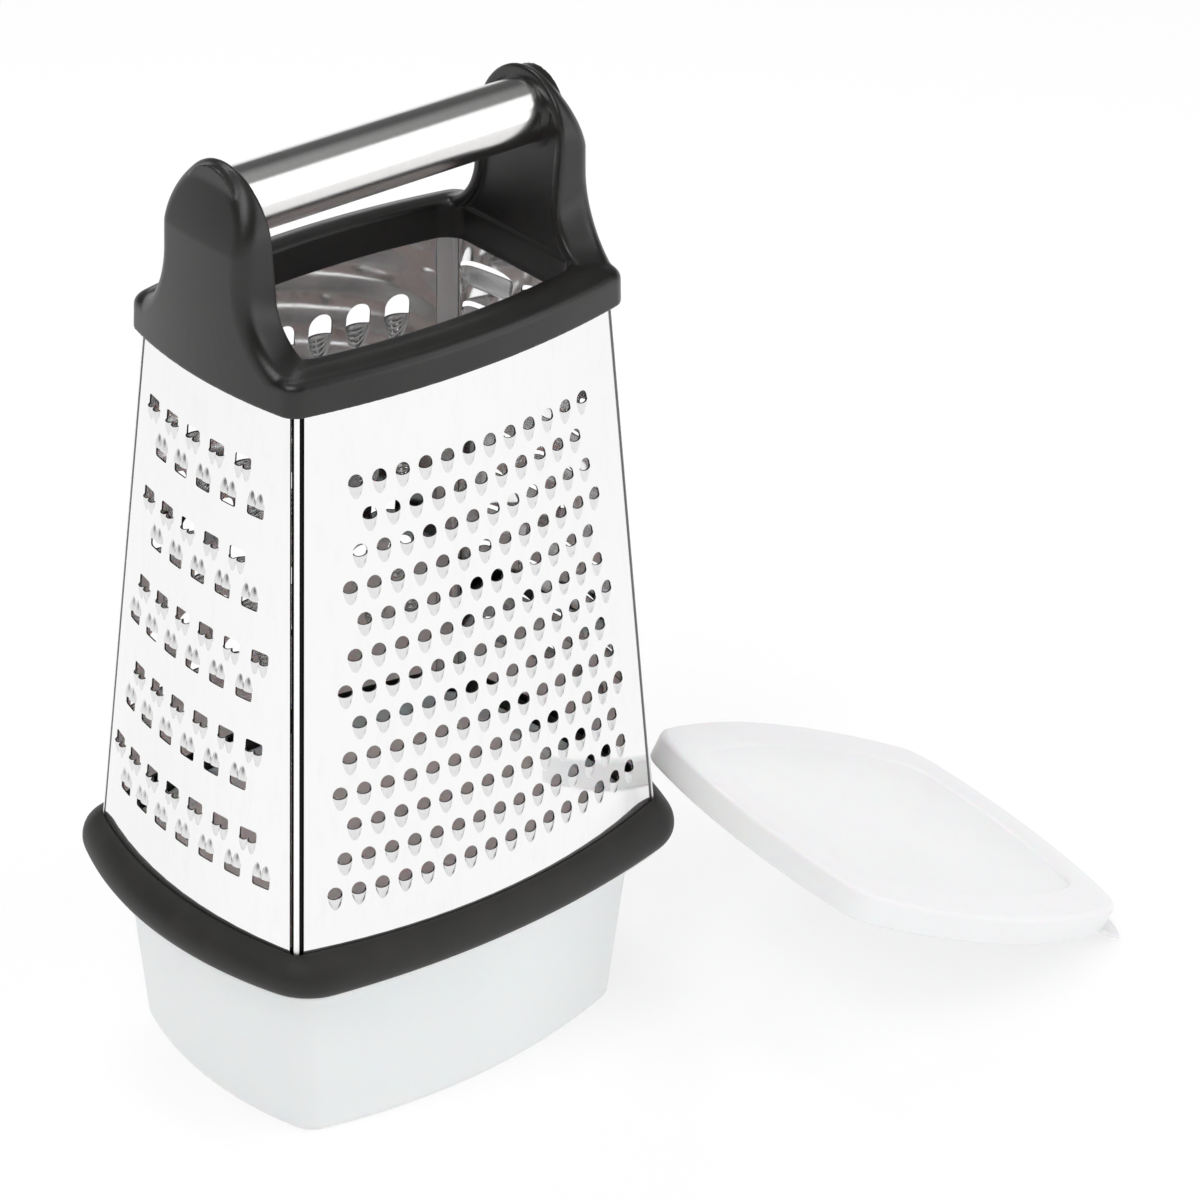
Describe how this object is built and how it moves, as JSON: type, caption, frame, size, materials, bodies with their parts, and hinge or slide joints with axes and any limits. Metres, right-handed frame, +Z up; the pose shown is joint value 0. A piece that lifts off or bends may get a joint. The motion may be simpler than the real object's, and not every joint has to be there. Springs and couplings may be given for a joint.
{
  "type": "box grater",
  "caption": "Four-sided sheet-steel box grater with a tube handle and a soft base ring, standing on a translucent catch container; the container's lid leans beside it.",
  "frame": {"origin": "middle of the flat underside of the container, on the surface that the part stands on", "axes": "+Z up; X along the handle tube; -Y is the medium shredding side, +Y the coarse side, -X the two-way side and +X the slicing side"},
  "size_m": [0.2883, 0.1893, 0.2878],
  "materials": {
    "frame_plastic": "fine matte",
    "brushed_tube": "brushed",
    "plug_plastic": "matte",
    "polished_steel": "polished",
    "ring_rubber": "matte",
    "container_plastic": "translucent frosted",
    "lid_plastic": "translucent frosted"
  },
  "bodies": {
    "container": {"container": "container_plastic"},
    "grater": {"top_frame": "frame_plastic", "base_ring": "ring_rubber", "handle_tube": "brushed_tube", "handle_plug_left": "plug_plastic", "handle_plug_right": "plug_plastic", "medium_panel": "polished_steel", "double_tooth_panel": "polished_steel", "coarse_panel": "polished_steel", "slicer_panel": "polished_steel", "corner_strip_front_left": "polished_steel", "corner_strip_front_right": "polished_steel", "corner_strip_back_left": "polished_steel", "corner_strip_back_right": "polished_steel"},
    "lid": {"lid": "lid_plastic"}
  },
  "joints": [
    {"name": "grater_lift", "type": "slide", "parent": "container", "child": "grater", "axis": [0, 0, 1], "range_m": [0, 0.1]},
    {"name": "lid_lift", "type": "slide", "parent": "container", "child": "lid", "axis": [0, 0, 1], "range_m": [0, 0.06]}
  ]
}
